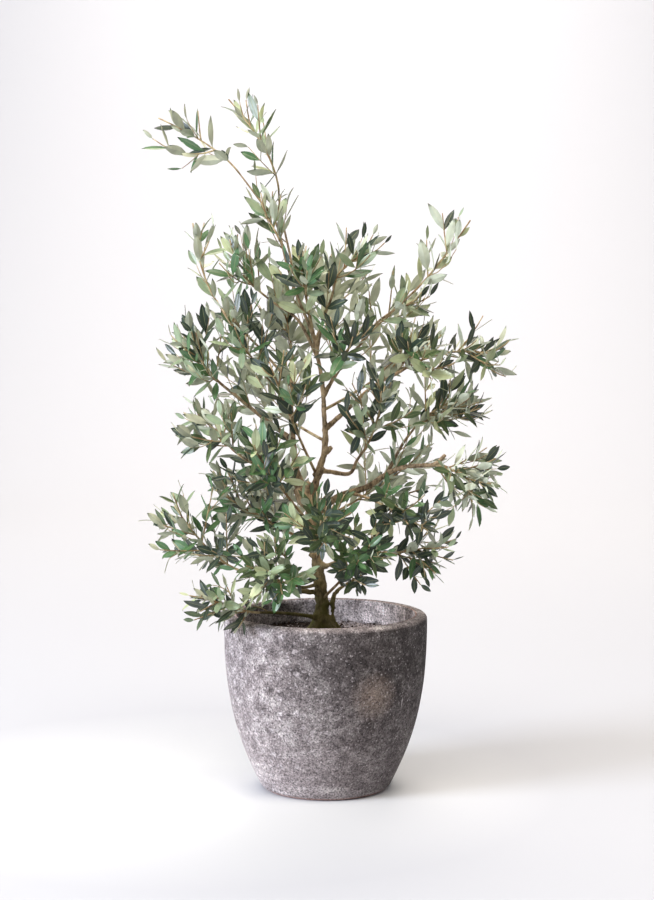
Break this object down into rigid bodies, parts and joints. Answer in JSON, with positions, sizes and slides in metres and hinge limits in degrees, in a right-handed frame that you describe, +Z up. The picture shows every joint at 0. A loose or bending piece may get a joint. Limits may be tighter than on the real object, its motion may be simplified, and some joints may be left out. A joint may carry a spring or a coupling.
{
  "type": "potted olive tree",
  "caption": "Young olive tree with a gnarled trunk and an open crown of narrow silver-green leaves, in a round grey earthenware pot.",
  "frame": {"origin": "centre of the pot's flat underside", "axes": "+Z up the trunk from the pot's underside, -Y towards the viewer of the crown's broad side, +X to that viewer's right"},
  "size_m": [0.5441, 0.3863, 1.0199],
  "materials": {
    "pot": "matte, mottled unglazed earthenware",
    "soil": "crumbly potting soil",
    "bark": "rough olive bark",
    "foliage": "leathery leaves on thin green twigs"
  },
  "bodies": {
    "root": {"pot": "pot", "soil": "soil", "trunk": "bark", "bough_left_limb": "bark", "bough_top_left": "bark", "bough_top_middle": "bark", "bough_top_neck": "bark", "bough_upper_left": "bark", "bough_centre_top": "bark", "bough_right_upper": "bark", "bough_right_top": "bark", "bough_right_arch": "bark", "bough_right_inner": "bark", "bough_right_level": "bark", "bough_right_main": "bark", "bough_right_rise": "bark", "bough_right_under": "bark", "bough_right_low": "bark", "bough_left_high": "bark", "bough_left_inner": "bark", "bough_left_mid": "bark", "bough_left_level": "bark", "bough_left_low": "bark", "bough_left_low_front": "bark", "bough_left_rim": "bark", "top_spray": "foliage", "top_left_spray": "foliage", "top_neck_foliage": "foliage", "left_spire": "foliage", "upper_left_foliage": "foliage", "centre_upper_foliage": "foliage", "centre_top_spray": "foliage", "right_top_spray": "foliage", "right_upper_foliage": "foliage", "centre_right_foliage": "foliage", "right_arch_foliage": "foliage", "right_inner_foliage": "foliage", "left_upper_foliage": "foliage", "left_inner_foliage": "foliage", "left_crown": "foliage", "centre_left_foliage": "foliage", "left_mid_foliage": "foliage", "left_front_foliage": "foliage", "left_low_foliage": "foliage", "left_low_inner_foliage": "foliage", "left_low_front_foliage": "foliage", "left_rim_foliage": "foliage", "centre_low_foliage": "foliage", "right_mid_foliage": "foliage", "right_rise_foliage": "foliage", "right_outer_foliage": "foliage", "right_under_foliage": "foliage", "right_low_foliage": "foliage", "centre_right_low_foliage": "foliage", "back_top_foliage": "foliage", "back_right_foliage": "foliage", "back_left_foliage": "foliage", "back_low_right_foliage": "foliage", "back_low_left_foliage": "foliage"}
  },
  "joints": []
}
